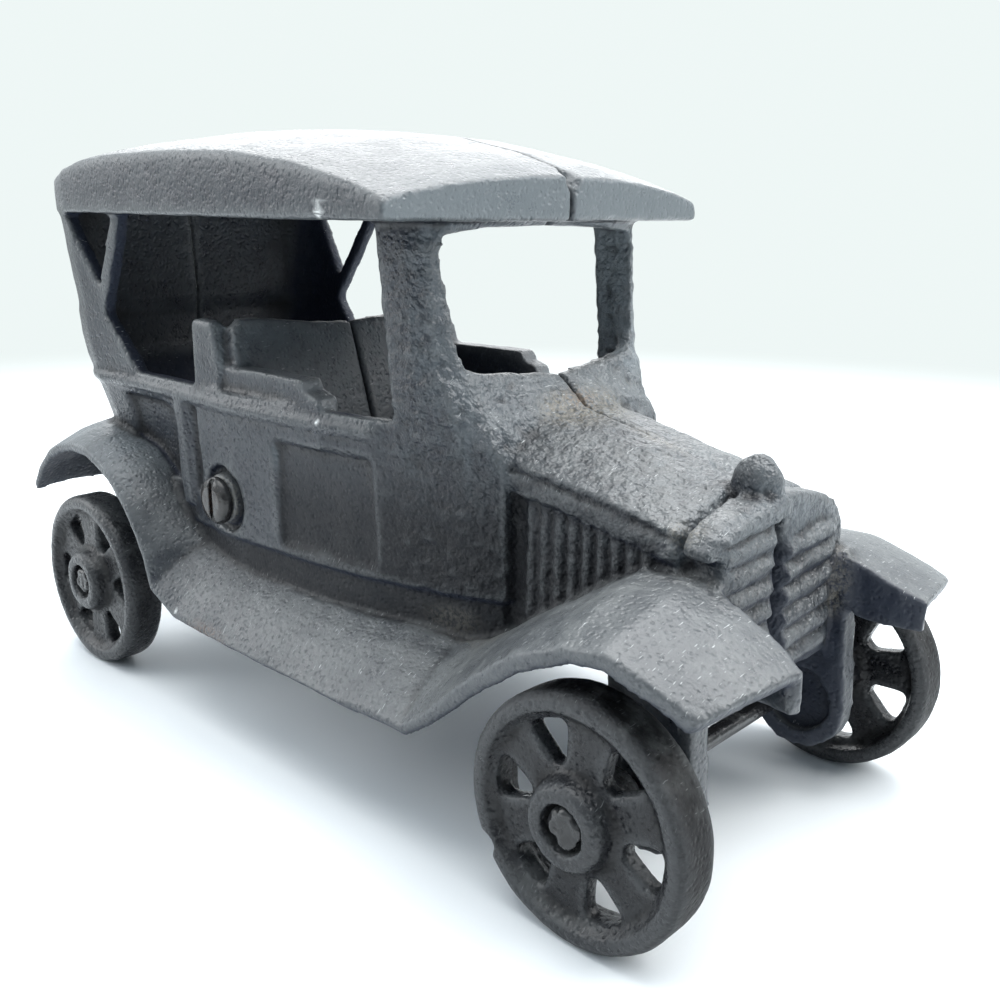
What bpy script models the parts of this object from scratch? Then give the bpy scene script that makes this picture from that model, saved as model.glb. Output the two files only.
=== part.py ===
# A cast iron toy touring car: two hollow halves held by one screw, with four spoked wheels on two rods.
# Lengths are in millimetres until the last step. +X is forward, +Y is the car's left and +Z is up.
# Places along the car count from midway between the axles, until the last step moves the middle of its length there.
# A half is described by x, by its distance out from the centre plane, and by its height.

import math

import bmesh
import bpy
from mathutils import Vector

for leftover in list(bpy.data.objects):
    bpy.data.objects.remove(leftover)


# Driving sizes of the wheels and axles.
wheel_radius = 17.0
wheelbase = 125.4
width_over_tyres = 73.5
tyre_width = 7.3
rim_bore_radius = 14.3
web_recess = 1.5
web_thickness = 2.8
hub_radius = 5.8
hub_stand_out = 1.5
hub_inner_reach = 2.4
cup_radius = 3.25
cup_depth = 2.0
rod_radius = 1.45
running_clearance = 0.08
axle_head_radius = 2.75
axle_head_thickness = 1.5
end_play = 0.15
wheel_facets = 32
spoke_count = 6

# Driving sizes of the body.
seam_gap = 0.3
wall = 2.7
skirt_bottom = 26.0
skirt_step_height = 32.8
skirt_step = 1.0
belt_height = 57.0
belt_moulding = 0.7
roof_edge_height = 88.2
rear_corner_radius = 10.5
rear_flare = 2.9
rear_tuck = 2.6
side_tuck = 1.0
cabin_to_tyre = 0.85
fender_inside_tyre = 0.25
fender_thickness = 1.8
front_fender_thickness = 2.6
fender_crown = 0.9
hood_inset = 10.6
radiator_front = 68.9
radiator_back = 64.8
radiator_flare = 0.4
core_inset = 3.6
rib_height = 1.2
rib_pitch = 3.4
rib_count = 6
lug_radius = 7.8
lug_thickness = 4.0
lug_pocket_radius = 5.4
lug_pocket_depth = 2.2
lug_to_hub = 1.65
front_lug_to_hub_right = 3.05
front_lug_to_hub_left = 6.55

# Driving sizes of the clamp screw.
screw_x = -24.5
screw_z = 39.8
screw_head_radius = 4.25
screw_head_thickness = 1.9
screw_shank_radius = 2.1
screw_reach = 14.0
slot_width = 1.1
slot_depth = 0.9
boss_radius = 4.6
counterbore_radius = 6.0
counterbore_wall = 0.3
screw_stand_out = 0.3
pad_depth = 1.6
pad_radius = 8.6
fit_gap = 0.06

# Sizes that follow from the driving ones.
axle_height = wheel_radius
front_axle_x = wheelbase / 2.0
rear_axle_x = -wheelbase / 2.0
wheel_centre_out = (width_over_tyres - tyre_width) / 2.0
bore_radius = rod_radius + running_clearance
half_tyre = tyre_width / 2.0
web_outer_face = half_tyre - web_recess
web_inner_face = web_outer_face - web_thickness
hub_outer_face = half_tyre + hub_stand_out
hub_inner_face = -half_tyre - hub_inner_reach
cup_floor = hub_outer_face - cup_depth
tyre_inner = width_over_tyres / 2.0 - tyre_width
cabin_half_width = tyre_inner - cabin_to_tyre
fender_half_width = width_over_tyres / 2.0 - fender_inside_tyre
hood_half_width = cabin_half_width - hood_inset
radiator_half_width = hood_half_width + radiator_flare
radiator_core_half_width = radiator_half_width - core_inset
hub_end = wheel_centre_out + hub_inner_face
rear_lug_inner = hub_end - lug_to_hub - lug_thickness
front_lug_inner_right = hub_end - front_lug_to_hub_right - lug_thickness
front_lug_inner_left = hub_end - front_lug_to_hub_left - lug_thickness
screw_seat = cabin_half_width + screw_stand_out
counterbore_floor = cabin_half_width - wall + counterbore_wall
pad_out = cabin_half_width - pad_depth
window_sill = belt_height + 2.2
windshield_sill_centre = belt_height + 8.2
windshield_sill_side = belt_height + 10.5
header_bottom = roof_edge_height - 1.8
post_top = roof_edge_height + 5.3


# A height between the skirt's step and the belt, and one between the belt and the roof's edge.
def in_tub(share):
    return skirt_step_height + share * (belt_height - skirt_step_height)


def in_window(share):
    return belt_height + share * (roof_edge_height - belt_height)


# Reading a size between the places where it is stated.
def along(value, table):
    if value <= table[0][0]:
        return table[0][1]
    for (low, first), (high, second) in zip(table, table[1:]):
        if value <= high:
            return first + (second - first) * (value - low) / (high - low)
    return table[-1][1]


# Bodies are kept as meshes while they are joined and cut.
def holder(name, mesh):
    made = bpy.data.objects.new(name, mesh)
    bpy.context.scene.collection.objects.link(made)
    return made


# Faces that differ by less than this angle are one flat face.
flat_angle = math.radians(0.4)


# Every face becomes flat triangles that look outwards.
def settle_faces(work):
    bmesh.ops.triangulate(work, faces=work.faces)
    bmesh.ops.recalc_face_normals(work, faces=work.faces)
    if work.calc_volume(signed=True) < 0.0:
        bmesh.ops.reverse_faces(work, faces=work.faces)


def body_from(name, points, faces, side):
    work = bmesh.new()
    corners = [work.verts.new((x, side * out, z)) for x, out, z in points]
    for face in faces:
        work.faces.new([corners[index] for index in face])
    settle_faces(work)
    mesh = bpy.data.meshes.new(name)
    work.to_mesh(mesh)
    work.free()
    return holder(name, mesh)


# A body through rings of equal count. Each end ring is flat and is filled.
def loft(name, rings, side):
    count = len(rings[0])
    points = [point for ring in rings for point in ring]
    faces = []
    for level in range(len(rings) - 1):
        for index in range(count):
            after = (index + 1) % count
            faces.append((level * count + index, level * count + after,
                          (level + 1) * count + after, (level + 1) * count + index))
    faces.append(tuple(range(count)))
    faces.append(tuple((len(rings) - 1) * count + index for index in range(count)))
    return body_from(name, points, faces, side)


# A curved sheet between two grids of points, closed along its four edges.
def sheet(name, upper, lower, side):
    rows = len(upper)
    columns = len(upper[0])
    points = [point for row in upper for point in row] + [point for row in lower for point in row]
    shift = rows * columns
    faces = []
    for row in range(rows - 1):
        for column in range(columns - 1):
            here = row * columns + column
            faces.append((here, here + 1, here + columns + 1, here + columns))
            faces.append((shift + here, shift + here + columns, shift + here + columns + 1, shift + here + 1))
    for column in range(columns - 1):
        last = (rows - 1) * columns + column
        faces.append((column, column + 1, shift + column + 1, shift + column))
        faces.append((last, last + 1, shift + last + 1, shift + last))
    for row in range(rows - 1):
        here = row * columns
        end = row * columns + columns - 1
        faces.append((here, here + columns, shift + here + columns, shift + here))
        faces.append((end, end + columns, shift + end + columns, shift + end))
    return body_from(name, points, faces, side)


# A flat outline pushed between two depths. The plane names the outline's two directions.
def prism(name, outline, low, high, plane, side):
    curve = bpy.data.curves.new(name, "CURVE")
    curve.dimensions = "2D"
    curve.fill_mode = "BOTH"
    curve.extrude = (high - low) / 2.0
    curve.render_resolution_u = 0
    spline = curve.splines.new("POLY")
    spline.points.add(len(outline) - 1)
    for point, (first, second) in zip(spline.points, outline):
        point.co = (first, second, 0.0, 1.0)
    spline.use_cyclic_u = True
    drawn = holder(name + "_outline", curve)
    depsgraph = bpy.context.evaluated_depsgraph_get()
    mesh = bpy.data.meshes.new_from_object(drawn.evaluated_get(depsgraph))
    bpy.data.objects.remove(drawn)
    work = bmesh.new()
    work.from_mesh(mesh)
    bmesh.ops.remove_doubles(work, verts=work.verts, dist=1e-4)
    middle = (low + high) / 2.0
    for vert in work.verts:
        first, second, depth = vert.co
        depth += middle
        if plane == "xz":
            vert.co = (first, side * depth, second)
        elif plane == "outz":
            vert.co = (depth, side * first, second)
        else:
            vert.co = (first, side * second, depth)
    settle_faces(work)
    work.to_mesh(mesh)
    work.free()
    return holder(name, mesh)


# A round bar across the car.
def bar(name, x, z, radius, low, high, side, facets=24):
    turn = math.pi / facets
    outline = [(x + radius * math.cos(turn + 2.0 * math.pi * step / facets),
                z + radius * math.sin(turn + 2.0 * math.pi * step / facets)) for step in range(facets)]
    return prism(name, outline, low, high, "xz", side)


# A turned body from half of its outline, given as radius and place along +Y.
def turned(name, outline, facets):
    mesh = bpy.data.meshes.new(name)
    points = [(radius, place, 0.0) for radius, place in outline]
    edges = [(index - 1, index) for index in range(1, len(points))]
    if outline[0][0] > 0.0:
        edges.append((len(points) - 1, 0))
    mesh.from_pydata(points, edges, [])
    spun = holder(name, mesh)
    screw = spun.modifiers.new("turn", "SCREW")
    screw.axis = "Y"
    screw.steps = facets
    screw.render_steps = facets
    screw.use_merge_vertices = True
    screw.merge_threshold = 1e-4
    screw.use_smooth_shade = False
    settle(spun)
    return spun


# The modifiers' result becomes the mesh itself.
def settle(body):
    depsgraph = bpy.context.evaluated_depsgraph_get()
    mesh = bpy.data.meshes.new_from_object(body.evaluated_get(depsgraph))
    body.modifiers.clear()
    body.data = mesh
    work = bmesh.new()
    work.from_mesh(mesh)
    bmesh.ops.remove_doubles(work, verts=work.verts, dist=1e-3)
    bmesh.ops.dissolve_limit(work, angle_limit=flat_angle, verts=work.verts, edges=work.edges)
    settle_faces(work)
    work.to_mesh(mesh)
    work.free()


def combine(body, operation, others):
    for other in others:
        step = body.modifiers.new("step", "BOOLEAN")
        step.operation = operation
        step.solver = "EXACT"
        step.object = other
        settle(body)
        bpy.data.objects.remove(other)
    return body


# Plan of the cabin at the belt: how far the wall lies inside the cabin's half width at places along the car.
belt_insets = ((-66.8, 0.0), (-60.0, 0.4), (-44.5, 0.7), (-33.0, 0.4), (-21.0, -0.5), (-8.6, 0.3), (3.0, 1.2),
               (12.7, 2.8), (15.0, 3.5))
belt_plan = tuple((x, cabin_half_width - inset) for x, inset in belt_insets)
side_stations = (-61.0, -50.0, -42.0, -34.0, -21.0, -8.6, 3.0, 12.7)

# Place of the rear wall at each height. The tub swells out above its waist.
rear_wall = ((skirt_bottom, -72.5), (in_tub(0.46), -73.8), (in_tub(0.67), -74.2), (belt_height, -75.6),
             (in_window(0.11), -77.4), (in_window(0.255), -78.6), (in_window(0.4), -78.5),
             (in_window(0.45), -77.8), (roof_edge_height, -79.0), (roof_edge_height + 2.8, -78.8), (post_top, -77.0))

# Plan of the cowl and the front posts, from the door round to the centre plane, at each height.
# The second number is the share of the post's half width.
post_half_width = cabin_half_width - 3.5
front_shares = (
    (belt_height - 3.0, ((15.0, 1.0), (22.0, 0.916), (28.5, 0.853), (34.5, 0.757), (34.6, 0.398), (34.7, 0.0))),
    (belt_height + 0.4, ((15.0, 1.0), (22.2, 0.952), (28.8, 0.884), (33.3, 0.781), (34.8, 0.438), (35.5, 0.0))),
    (in_window(0.13), ((15.0, 1.0), (22.4, 0.98), (28.2, 0.908), (30.8, 0.773), (33.0, 0.438), (34.2, 0.0))),
    (in_window(0.255), ((15.0, 1.004), (22.2, 0.996), (26.8, 0.928), (28.5, 0.773), (29.1, 0.398), (29.4, 0.0))),
    (in_window(0.333), ((15.0, 1.004), (21.6, 1.0), (25.5, 0.94), (27.2, 0.789), (27.6, 0.398), (27.8, 0.0))),
    (roof_edge_height, ((14.6, 1.008), (20.2, 1.004), (23.8, 0.948), (25.1, 0.813), (25.3, 0.403), (25.4, 0.0))),
)
front_plan = tuple((height, tuple((x, share * post_half_width) for x, share in outline))
                   for height, outline in front_shares)


def side_half_width(x, z):
    width = along(x, belt_plan)
    rearness = min(1.0, max(0.0, (-38.0 - x) / 8.0))
    if z >= belt_height:
        return width + rearness * rear_flare * (z - belt_height) / (roof_edge_height - belt_height)
    drop = belt_height - z
    return width - rearness * min(1.0, drop / 12.0) * rear_tuck - (1.0 - rearness) * min(1.0, drop / 24.0) * side_tuck


def front_points(z):
    count = len(front_plan[0][1])
    found = []
    for index in range(count):
        xs = [(height, outline[index][0]) for height, outline in front_plan]
        outs = [(height, outline[index][1]) for height, outline in front_plan]
        found.append((along(z, xs), along(z, outs)))
    drop = min(1.0, max(0.0, (belt_height - z) / 24.0)) * side_tuck
    return [(x, out - drop if out > 0.5 * post_half_width else out) for x, out in found]


# Bodies run a little past the centre plane and are trimmed there last, and cutters run further past it.
past_centre = -2.0
beyond_centre = -6.0


# A path from the rear round to the front, moved inwards by a distance.
def moved_in(path, distance):
    moved = []
    for index, (x, out) in enumerate(path):
        if index == 0:
            moved.append((x + distance, out))
            continue
        if index == len(path) - 1:
            moved.append((x - distance, out))
            continue
        before = Vector((x - path[index - 1][0], out - path[index - 1][1])).normalized()
        after = Vector((path[index + 1][0] - x, path[index + 1][1] - out)).normalized()
        mean = (before + after).normalized()
        reach = distance / max(0.75, mean.dot(before))
        moved.append((x + mean.y * reach, out - mean.x * reach))
    return moved


def cabin_ring(z, inset):
    back = along(z, rear_wall)
    turn = back + rear_corner_radius
    width = side_half_width(turn, z)
    path = [(back, 0.0), (back + 0.15, 0.55 * (width - rear_corner_radius))]
    for step in range(5):
        angle = math.pi / 2.0 * step / 4.0
        path.append((turn - rear_corner_radius * math.cos(angle),
                     width - rear_corner_radius + rear_corner_radius * math.sin(angle)))
    path += [(x, side_half_width(x, z)) for x in side_stations]
    path += front_points(z)
    moved = moved_in(path, inset)
    if inset < 0.0:
        moved[-len(front_plan[0][1]):] = path[-len(front_plan[0][1]):]
    path = moved
    start = beyond_centre if inset > 2.0 else past_centre
    path = [(path[0][0], start)] + path + [(path[-1][0], start)]
    return [(x, out, z) for x, out in path]


def cabin_outside(side):
    levels = [(skirt_bottom, skirt_step), (skirt_step_height, skirt_step), (skirt_step_height + 0.6, 0.0)]
    levels += [(in_tub(share), 0.0) for share in (0.21, 0.5, 0.67, 0.87)]
    levels += [(belt_height - 1.3, 0.0), (belt_height - 0.7, -belt_moulding), (belt_height + 0.4, -belt_moulding),
               (belt_height + 1.2, 0.0)]
    levels += [(in_window(share), 0.0) for share in (0.13, 0.255, 0.333, 0.4, 0.45, 0.74, 0.99)]
    levels += [(roof_edge_height + 2.8, 0.0), (post_top, 0.0)]
    return loft("cabin", [cabin_ring(z, inset) for z, inset in levels], side)


def cabin_inside(side):
    levels = [skirt_bottom - 6.0, skirt_bottom + 4.0, in_tub(0.5), in_tub(0.67), belt_height]
    levels += [in_window(share) for share in (0.13, 0.333, 0.45, 0.99)]
    levels += [roof_edge_height + 2.3, post_top + 2.0]
    return loft("cabin_inside", [cabin_ring(z, wall) for z in levels], side)


# The hood, from the cowl to the radiator: crowned top, groove, ledge and a sunken side panel.
hood_top = ((31.0, 61.6), (34.0, 61.0), (40.7, 59.6), (51.5, 57.3), (62.6, 54.2), (63.4, 53.0), (66.0, 52.6))
hood_shoulder = ((31.0, 55.4), (35.0, 55.0), (51.0, 52.7), (62.6, 50.3), (63.4, 49.0), (66.0, 48.6))
hood_stations = (31.5, 36.0, 41.0, 51.5, 62.6, 63.4, 66.0)
hood_neck_half_width = radiator_core_half_width - 0.3
hood_taper = 0.9
hood_side_panel = hood_half_width - hood_taper - 1.2
hood_bottom = 28.4

# The left half hangs lower than the right one towards the front.
hood_droop = ((36.0, 0.0), (51.5, 0.8), (62.6, 1.5), (66.0, 1.5))


def hood_ring(x, side):
    top = along(x, hood_top) - (along(x, hood_droop) if side > 0 else 0.0)
    shoulder = along(x, hood_shoulder)
    fall = top - shoulder
    half = hood_half_width - hood_taper * (x - hood_stations[0]) / (hood_stations[-1] - hood_stations[0])
    if x > hood_stations[-3]:
        half = hood_neck_half_width
    panel = min(hood_side_panel, half - 0.4)
    outline = [(past_centre - 0.4, top), (0.0, top), (0.34 * half, top - 0.1 * fall), (0.62 * half, top - 0.36 * fall),
               (0.83 * half, top - 0.68 * fall), (0.95 * half, top - 0.9 * fall), (half, shoulder - 0.3),
               (half - 0.9, shoulder - 0.8), (half - 0.9, shoulder - 1.5), (half, shoulder - 2.0),
               (half - 0.1, shoulder - 4.1), (panel, shoulder - 4.8), (panel, hood_bottom),
               (past_centre - 0.4, hood_bottom)]
    return [(x, out, z) for out, z in outline]


def hood_inside(side):
    rings = []
    for x in (20.0, 34.0, 51.5, radiator_back + 1.6):
        top = along(x, hood_top) - (along(x, hood_droop) if side > 0 else 0.0)
        shoulder = along(x, hood_shoulder)
        inner = min(hood_side_panel - wall, hood_neck_half_width - 0.4 - wall + 0.2 * (66.0 - x))
        outline = [(beyond_centre, top - 3.2), (0.45 * inner, top - 3.6), (inner - 0.4, shoulder - 2.0),
                   (inner, shoulder - 5.0), (inner, 20.0), (beyond_centre, 20.0)]
        rings.append([(x, out, z) for out, z in outline])
    return loft("hood_inside", rings, side)


# Upright louvres on the sunken side panel.
louvre_count = 9
louvre_first = 37.9
louvre_pitch = 2.55
louvre_bottom = hood_bottom + 3.2


def louvres(side):
    made = []
    for index in range(louvre_count):
        x = louvre_first + louvre_pitch * index
        top = along(x, hood_shoulder) - 3.6
        outline = [(x - 0.65, louvre_bottom), (x + 0.65, louvre_bottom), (x + 0.65, top), (x - 0.65, top)]
        made.append(prism("louvre", outline, hood_side_panel - 1.0, hood_side_panel + 0.9, "xz", side))
    return made


# The radiator. Its header overhangs the ribbed core, whose outer corner is cut back on the right half only.
radiator_top = 54.4
radiator_bottom = 26.0
header_falls = {-1: ((0.03, 0.0), (0.3, 0.5), (0.6, 1.3), (0.8, 2.1), (0.93, 3.4), (1.0, 5.2)),
                1: ((0.03, 1.0), (0.27, 1.3), (0.58, 2.5), (0.82, 4.4), (0.93, 6.3), (1.0, 9.5))}
core_top = {-1: 49.6, 1: 46.7}
rib_rise = {-1: -0.036, 1: 0.07}


def radiator(side):
    half = radiator_half_width
    outline = [(past_centre - 0.8, radiator_top - header_falls[side][0][1])]
    outline += [(share * half, radiator_top - fall) for share, fall in header_falls[side]]
    if side < 0:
        outline += [(half, core_top[side] - 1.0), (half - 0.8, core_top[side] - 1.8),
                    (radiator_core_half_width, core_top[side] - 2.2), (radiator_core_half_width, 43.6),
                    (half, 42.6)]
    outline += [(half, radiator_bottom + 2.0), (0.9 * half, radiator_bottom), (past_centre - 0.8, radiator_bottom)]
    block = prism("radiator", outline, radiator_back, radiator_front, "outz", side)
    if side > 0:
        return block
    brow = [(past_centre - 1.0, radiator_top - 0.9)]
    brow += [(share * half - 0.6, radiator_top - fall - 0.7) for share, fall in header_falls[side][1:-1]]
    brow += [(0.93 * half - 1.0, core_top[side] + 0.2), (past_centre - 1.0, core_top[side] + 0.9)]
    header = prism("header", brow, radiator_front - 1.0, radiator_front + rib_height, "outz", side)
    return combine(block, "UNION", [header])


def radiator_ribs(side):
    made = []
    end = radiator_core_half_width - 0.5 if side < 0 else radiator_core_half_width + 0.6
    for index in range(rib_count):
        z = core_top[side] - 1.6 - rib_pitch * index
        rings = []
        for out, reach in ((past_centre - 1.0, rib_height), (end - 2.5, rib_height), (end, 0.4 * rib_height)):
            rise = rib_rise[side] * out
            section = [(radiator_front - 1.0, z - 1.45), (radiator_front + 0.6 * reach, z - 1.0),
                       (radiator_front + reach, z), (radiator_front + 0.6 * reach, z + 1.0),
                       (radiator_front - 1.0, z + 1.45)]
            rings.append([(x, out, height + rise) for x, height in section])
        made.append(loft("rib", rings, side))
    return made


# The two halves of the radiator part towards their front, the right one more.
def seam_parting(side):
    depth = {-1: 4.0, 1: 1.2}[side]
    front = radiator_front + rib_height + 2.0
    outline = [(radiator_back + 1.6, beyond_centre), (radiator_back + 1.6, seam_gap / 2.0),
               (radiator_front - 1.0, 0.25 * depth), (radiator_front + 0.3, 0.6 * depth), (front - 1.0, depth),
               (front, depth), (front, beyond_centre)]
    return prism("seam_parting", outline, radiator_bottom - 4.0, core_top[side] + 1.2, "plan", side)


# The fenders and running board: angle about the axle and clearance beyond the tyre at each station.
rear_rim = ((144, 9.8), (131, 10.4), (119, 10.7), (108, 10.5), (95, 10.7), (84, 10.7), (76, 10.0), (67, 9.8),
            (58, 9.4), (47, 9.0), (35, 8.2), (23, 8.4), (11, 8.2))
rear_root = ((143, 9.6), (128, 12.7), (116, 14.2), (106, 14.6), (94, 13.3), (84, 12.4), (75, 12.3), (66, 12.6),
             (57, 12.2), (47, 11.8), (36, 12.2), (28, 13.4), (23, 14.8))
rear_root_insets = (9.1, 10.1, 10.1, 5.1, 2.6, 2.6, 2.6, 2.6, 2.6, 2.4, 2.1, 1.8, 1.6)
rear_root_out = tuple(cabin_half_width - inset for inset in rear_root_insets)
front_rim = ((177, 14.2), (169, 10.2), (159, 7.6), (141, 5.4), (118, 4.8), (95, 6.0), (81, 7.2), (67, 7.5),
             (58, 7.9), (49, 8.3))
front_root = ((165, 19.0), (160, 14.7), (152, 12.0), (138, 9.4), (117, 8.8), (99, 10.8), (82, 11.3), (68, 11.0),
              (56, 11.3), (46, 11.9))
front_root_out = (cabin_half_width - 6.6, cabin_half_width - 8.1, hood_half_width + 0.5)
front_root_out += (hood_half_width - 0.5,) * 4 + (hood_half_width - 1.0,) * 2 + (hood_half_width,)
front_root_droop = (0.0, 0.0, 0.0, 0.0, 0.6, 1.6, 2.2, 2.6, 2.2, 1.0)
front_rim_droop = (0.0, 0.0, 0.0, 0.0, 0.3, 1.0, 1.7, 2.0, 1.7, 0.9)
flange_bottom = 32.4
board_height = 18.0
board_rise = 9.0
board_rim_x = (-31.0, -19.0, 0.0, 18.0, 25.0)
board_root_x = (-25.5, -14.0, -1.0, 13.5, 20.5)
board_rim_lift = (0.4, 0.0, 0.0, 0.0, 0.6)
board_root_lift = (1.3, 0.4, 0.0, 0.2, 0.3)
board_root_out = tuple(cabin_half_width - inset for inset in (1.4, 1.4, 1.6, 3.0, 4.6))


def about_axle(axle_x, place):
    angle = math.radians(place[0])
    reach = wheel_radius + place[1]
    return axle_x + reach * math.cos(angle), axle_height + reach * math.sin(angle)


def fender_stations(side):
    droop = 1.0 if side > 0 else 0.0
    stations = []
    for rim, root, out in zip(rear_rim, rear_root, rear_root_out):
        rim_x, rim_z = about_axle(rear_axle_x, rim)
        root_x, root_z = about_axle(rear_axle_x, root)
        stations.append((rim_x, rim_z, root_x, root_z, out, fender_half_width, fender_thickness))
    for index in range(len(board_rim_x)):
        stations.append((board_rim_x[index], board_height + board_rim_lift[index], board_root_x[index],
                         board_height + board_rise + board_root_lift[index], board_root_out[index],
                         fender_half_width, fender_thickness))
    for index, (rim, root, out) in enumerate(zip(front_rim, front_root, front_root_out)):
        rim_x, rim_z = about_axle(front_axle_x, rim)
        root_x, root_z = about_axle(front_axle_x, root)
        rim_z -= droop * front_rim_droop[index]
        root_z -= droop * front_root_droop[index]
        edge = fender_half_width - (0.0, 0.4, 1.2)[max(0, index - 7)]
        thick = along(index, ((0, fender_thickness), (3, front_fender_thickness)))
        stations.append((rim_x, rim_z, root_x, root_z, out, edge, thick))
    return stations


def fender(side):
    stations = fender_stations(side)
    plain = []
    for rim_x, rim_z, root_x, root_z, root_out, edge, thick in stations:
        row = []
        for share in (0.0, 0.22, 0.48, 0.74, 1.0):
            row.append(Vector((rim_x + (root_x - rim_x) * share, edge + (root_out - edge) * share,
                               rim_z + (root_z - rim_z) * share)))
        ends = root_x < rear_axle_x - wheel_radius + 3.0 or root_x > radiator_front + 1.0
        drop = root_z - flange_bottom if root_x > radiator_front + 1.0 else 0.3
        row.append(Vector((root_x, root_out - (0.7 if ends else 3.2), root_z - drop)))
        plain.append(row)
    upper = []
    lower = []
    for row_index, row in enumerate(plain):
        before = plain[max(0, row_index - 1)]
        after = plain[min(len(plain) - 1, row_index + 1)]
        top = []
        under = []
        for index, point in enumerate(row):
            tangent = after[index] - before[index]
            across = row[min(len(row) - 1, index + 1)] - row[max(0, index - 1)]
            outward = across.cross(tangent).normalized()
            share = (0.0, 0.22, 0.48, 0.74, 1.0, 1.0)[index]
            lifted = point + outward * (4.0 * fender_crown * share * (1.0 - share))
            below = lifted - outward * stations[row_index][6]
            top.append(tuple(lifted))
            under.append(tuple(below))
        upper.append(top)
        lower.append(under)
    return sheet("fender", upper, lower, side)


# The roof: rise of the centre and of the crease above the edge, and half width, at places along the car.
centre_rises = ((-82.2, 5.6), (-81.2, 7.8), (-78.5, 9.7), (-74.0, 11.2), (-68.0, 12.3), (-60.0, 13.4), (-50.0, 14.1),
                (-25.0, 14.8), (-8.0, 14.1), (6.5, 12.7), (19.5, 10.1), (26.0, 8.2), (30.6, 6.3))
crease_rises = ((-82.2, 2.6), (-81.2, 3.6), (-78.5, 4.8), (-74.0, 6.4), (-68.0, 7.8), (-60.0, 9.1), (-50.0, 9.8),
                (-25.0, 10.1), (-8.0, 9.6), (6.5, 8.1), (19.5, 5.8), (26.0, 4.3), (30.6, 3.0))
roof_centre = tuple((x, roof_edge_height + rise) for x, rise in centre_rises)
roof_crease = tuple((x, roof_edge_height + rise) for x, rise in crease_rises)
roof_half_width = ((-82.2, 18.5), (-81.2, 22.5), (-78.5, 27.0), (-74.0, 30.6), (-68.0, 32.0), (-60.0, 32.7),
                   (-50.0, 33.4), (-25.0, 34.8), (-8.0, 35.2), (6.5, 35.4), (19.5, 35.5), (26.0, 35.5), (30.6, 35.5))
roof_bow = 2.2


def roof_outside(side):
    rings = []
    for x, top in roof_centre:
        crease = along(x, roof_crease)
        half = along(x, roof_half_width)
        outline = [(past_centre - 1.2, top), (0.0, top)]
        for share in (0.25, 0.5, 0.72, 0.88):
            outline.append((share * half, crease + (top - crease) * (1.0 - share ** 2.1)))
        outline += [(half - 0.5, crease), (half, crease - 0.7), (half + 0.1, 0.5 * (crease + roof_edge_height)),
                    (half, roof_edge_height), (past_centre - 1.2, roof_edge_height)]
        bow = roof_bow * max(0.0, (x - 6.5) / 24.1)
        rings.append([(x - bow * (max(0.0, out) / 35.5) ** 2, out, z) for out, z in outline])
    return loft("roof", rings, side)


def roof_inside(side):
    rings = []
    for x, half in ((-76.3, 20.0), (-74.0, 23.5), (-68.0, 27.9), (-50.0, 30.0), (-25.0, 31.6), (-8.0, 32.0), (6.5, 32.2),
                    (12.5, 32.2)):
        top = along(x, roof_centre) - 3.0
        crease = along(x, roof_crease) - 3.0
        outline = [(beyond_centre, top), (0.0, top), (0.45 * half, crease + 0.84 * (top - crease)),
                   (0.8 * half, crease + 0.4 * (top - crease)), (half, crease - 0.5),
                   (half, roof_edge_height - 2.2), (beyond_centre, roof_edge_height - 2.2)]
        rings.append([(x, out, z) for out, z in outline])
    return loft("roof_inside", rings, side)


# A pocket or a raised panel on the side of the cabin: depth below the surface at each crossing.
def side_relief(name, xs, zs, depths, lid, side):
    surface = []
    cover = []
    for row, z in enumerate(zs):
        line = []
        top = []
        for column, x in enumerate(xs):
            place = side_half_width(x, z) if x < 15.0 else along(x, ((15.0, 25.1), (22.0, 23.0)))
            line.append((x, place - depths[row][column], z))
            top.append((x, place + lid, z))
        surface.append(line)
        cover.append(top)
    return sheet(name, surface, cover, side)


def door_pocket(side):
    xs = (-9.6, -8.2, -2.0, 6.0, 12.2, 13.6)
    zs = (skirt_step_height + 1.1, skirt_step_height + 3.0, in_tub(0.48), belt_height - 4.6, belt_height - 3.6)
    depths = [[-0.2] * 6] + [[-0.2] + [1.1] * 4 + [-0.2]] * 3 + [[-0.2] * 6]
    return side_relief("door_pocket", xs, zs, depths, 2.5, side)


def quarter_pocket(side):
    xs = (-58.6, -57.6, -51.0, -45.0, -40.6, -39.8)
    zs = (in_tub(0.3), in_tub(0.55), belt_height - 5.5, belt_height - 2.8, belt_height - 2.1)
    depths = [[-0.2] + [1.2] * 4 + [-0.2]] * 3 + [[-0.2] + [1.2] * 3 + [-0.2] * 2] + [[-0.2] * 6]
    return side_relief("quarter_pocket", xs, zs, depths, 2.5, side)


def pillar_groove(side):
    xs = (-34.6, -34.0, -32.2, -31.6)
    zs = (in_tub(0.256), in_tub(0.3), in_tub(0.63), belt_height - 2.0, belt_height - 1.4)
    depths = [[-0.2] * 4] + [[-0.2, 1.2, 1.2, -0.2]] * 3 + [[-0.2] * 4]
    return side_relief("pillar_groove", xs, zs, depths, 2.5, side)


def pillar_bar(side):
    xs = (-38.8, -38.3, -36.3, -35.8)
    zs = (skirt_step_height + 3.7, in_tub(0.5), belt_height - 0.4)
    depths = [[1.0, 1.0, 1.0, 1.0]] * 3
    return side_relief("pillar_bar", xs, zs, depths, 0.7, side)


# The openings in the cabin. The left front post is slimmer than the right one.
post_slimming = 1.4


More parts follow.
